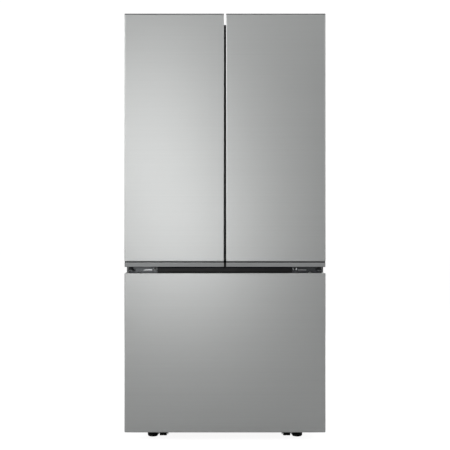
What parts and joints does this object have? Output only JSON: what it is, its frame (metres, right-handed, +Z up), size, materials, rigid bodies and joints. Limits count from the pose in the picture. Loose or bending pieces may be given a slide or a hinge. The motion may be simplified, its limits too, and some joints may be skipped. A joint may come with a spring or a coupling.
{
  "type": "french door refrigerator",
  "caption": "Free-standing refrigerator with paired side-hinged upper doors over a pull-out bottom freezer drawer, glass shelves, door bins and sliding produce drawers.",
  "frame": {"origin": "on the floor, under the middle of the object's box", "axes": "+X to the right seen from the front, +Y to the back, +Z up"},
  "size_m": [0.832, 0.848, 1.77],
  "materials": {
    "stainless_skin": "horizontally brushed stainless sheet, fingerprint resistant coat",
    "handle_trim": "satin grey moulded strip",
    "case_paint": "fine textured dark grey powder coat",
    "dark_rail_paint": "satin dark grey",
    "bright_zinc": "bright zinc plate",
    "galvanised_sheet": "galvanised steel, faint spangle",
    "dark_plastic": "fine textured moulding",
    "cap_plastic": "satin dark grey moulding",
    "liner_plastic": "white vacuum formed sheet, soft gloss",
    "door_panel": "white moulded inner panel with the foam core behind it",
    "gasket_rubber": "grey magnetic gasket, satin",
    "clear_bin": "clear moulded plastic, polished",
    "shelf_glass": "toughened glass in a white moulded trim",
    "insulation": "rigid yellow polyurethane foam",
    "aluminium_fins": "mill finish",
    "compressor_paint": "satin black enamel",
    "black_rubber": "matte black"
  },
  "bodies": {
    "cabinet": {"outer_case": "case_paint", "back_panel": "galvanised_sheet", "base_frame": "galvanised_sheet", "foam_insulation": "insulation", "fridge_liner": "liner_plastic", "freezer_liner": "liner_plastic", "center_rail": "dark_rail_paint", "air_panel": "liner_plastic", "middle_shelf": "shelf_glass", "crisper_cover": "shelf_glass", "evaporator": "aluminium_fins", "evaporator_cover": "liner_plastic", "compressor": "compressor_paint", "condenser": "aluminium_fins", "machine_cover": "galvanised_sheet", "upper_hinge_left": "bright_zinc", "hinge_cover_left": "cap_plastic", "middle_hinge_left": "bright_zinc", "upper_shelf_left": "shelf_glass", "freezer_rail_left": "bright_zinc", "upper_hinge_right": "bright_zinc", "hinge_cover_right": "cap_plastic", "middle_hinge_right": "bright_zinc", "upper_shelf_right": "shelf_glass", "freezer_rail_right": "bright_zinc"},
    "left_door": {"left_door_skin": "stainless_skin", "left_door_handle_cap": "handle_trim", "left_door_liner": "door_panel", "left_door_gasket": "gasket_rubber", "left_door_bin_low": "clear_bin", "left_door_bin_middle": "clear_bin", "left_door_bin_top": "clear_bin"},
    "mullion_flap": {"mullion_flap": "dark_plastic"},
    "right_door": {"right_door_skin": "stainless_skin", "right_door_handle_cap": "handle_trim", "right_door_liner": "door_panel", "right_door_gasket": "gasket_rubber", "right_door_bin_low": "clear_bin", "right_door_bin_middle": "clear_bin", "dairy_box": "clear_bin"},
    "dairy_lid": {"dairy_lid": "clear_bin"},
    "freezer_drawer": {"freezer_drawer_skin": "stainless_skin", "freezer_drawer_handle_cap": "cap_plastic", "freezer_drawer_liner": "door_panel", "freezer_drawer_gasket": "gasket_rubber", "freezer_slide_inner": "bright_zinc", "freezer_basket": "clear_bin"},
    "middle_slide": {"freezer_slide_middle": "bright_zinc"},
    "upper_freezer_drawer": {"upper_freezer_drawer": "clear_bin"},
    "crisper_left": {"crisper_left": "clear_bin"},
    "crisper_right": {"crisper_right": "clear_bin"},
    "pantry_drawer": {"pantry_drawer": "clear_bin"},
    "evaporator_fan": {"evaporator_fan": "dark_plastic"},
    "condenser_fan": {"condenser_fan": "dark_plastic"},
    "front_foot_left": {"front_foot_left": "black_rubber"},
    "front_roller_left": {"front_roller_left": "black_rubber"},
    "rear_roller_left": {"rear_roller_left": "black_rubber"},
    "front_foot_right": {"front_foot_right": "black_rubber"},
    "front_roller_right": {"front_roller_right": "black_rubber"},
    "rear_roller_right": {"rear_roller_right": "black_rubber"}
  },
  "joints": [
    {"name": "left_door_hinge", "type": "hinge", "parent": "cabinet", "child": "left_door", "pos_m": [-0.392, -0.38, 0.9], "axis": [0, 0, -1], "range_deg": [0, 115]},
    {"name": "right_door_hinge", "type": "hinge", "parent": "cabinet", "child": "right_door", "pos_m": [0.392, -0.38, 0.9], "axis": [0, 0, 1], "range_deg": [0, 115]},
    {"name": "mullion_flap_hinge", "type": "hinge", "parent": "left_door", "child": "mullion_flap", "pos_m": [-0.038, -0.312, 1.2], "axis": [0, 0, -1], "range_deg": [0, 90]},
    {"name": "dairy_lid_hinge", "type": "hinge", "parent": "right_door", "child": "dairy_lid", "pos_m": [0.2055, -0.333, 1.5395], "axis": [1, 0, 0], "range_deg": [0, 80]},
    {"name": "freezer_drawer_slide", "type": "slide", "parent": "cabinet", "child": "freezer_drawer", "axis": [0, -1, 0], "range_m": [0, 0.4]},
    {"name": "middle_slide_travel", "type": "slide", "parent": "cabinet", "child": "middle_slide", "axis": [0, -1, 0], "range_m": [0, 0.2]},
    {"name": "upper_freezer_drawer_slide", "type": "slide", "parent": "cabinet", "child": "upper_freezer_drawer", "axis": [0, -1, 0], "range_m": [0, 0.135]},
    {"name": "crisper_left_slide", "type": "slide", "parent": "cabinet", "child": "crisper_left", "axis": [0, -1, 0], "range_m": [0, 0.085]},
    {"name": "crisper_right_slide", "type": "slide", "parent": "cabinet", "child": "crisper_right", "axis": [0, -1, 0], "range_m": [0, 0.085]},
    {"name": "pantry_drawer_slide", "type": "slide", "parent": "cabinet", "child": "pantry_drawer", "axis": [0, -1, 0], "range_m": [0, 0.085]},
    {"name": "evaporator_fan_spin", "type": "hinge", "parent": "cabinet", "child": "evaporator_fan", "pos_m": [0, 0.277, 0.586], "axis": [0, -1, 0], "continuous": true},
    {"name": "condenser_fan_spin", "type": "hinge", "parent": "cabinet", "child": "condenser_fan", "pos_m": [0.022, 0.29, 0.162], "axis": [1, 0, 0], "continuous": true},
    {"name": "front_foot_left_turn", "type": "hinge", "parent": "cabinet", "child": "front_foot_left", "pos_m": [-0.306, -0.285, 0], "axis": [0, 0, 1], "continuous": true},
    {"name": "front_roller_left_roll", "type": "hinge", "parent": "cabinet", "child": "front_roller_left", "pos_m": [-0.262, -0.285, 0.0175], "axis": [1, 0, 0], "continuous": true},
    {"name": "rear_roller_left_roll", "type": "hinge", "parent": "cabinet", "child": "rear_roller_left", "pos_m": [-0.33, 0.36, 0.018], "axis": [1, 0, 0], "continuous": true},
    {"name": "front_foot_right_turn", "type": "hinge", "parent": "cabinet", "child": "front_foot_right", "pos_m": [0.306, -0.285, 0], "axis": [0, 0, 1], "continuous": true},
    {"name": "front_roller_right_roll", "type": "hinge", "parent": "cabinet", "child": "front_roller_right", "pos_m": [0.262, -0.285, 0.0175], "axis": [1, 0, 0], "continuous": true},
    {"name": "rear_roller_right_roll", "type": "hinge", "parent": "cabinet", "child": "rear_roller_right", "pos_m": [0.33, 0.36, 0.018], "axis": [1, 0, 0], "continuous": true}
  ],
  "couplings": [
    {"joint": "middle_slide_travel", "follows": "freezer_drawer_slide", "ratio": 0.5}
  ]
}
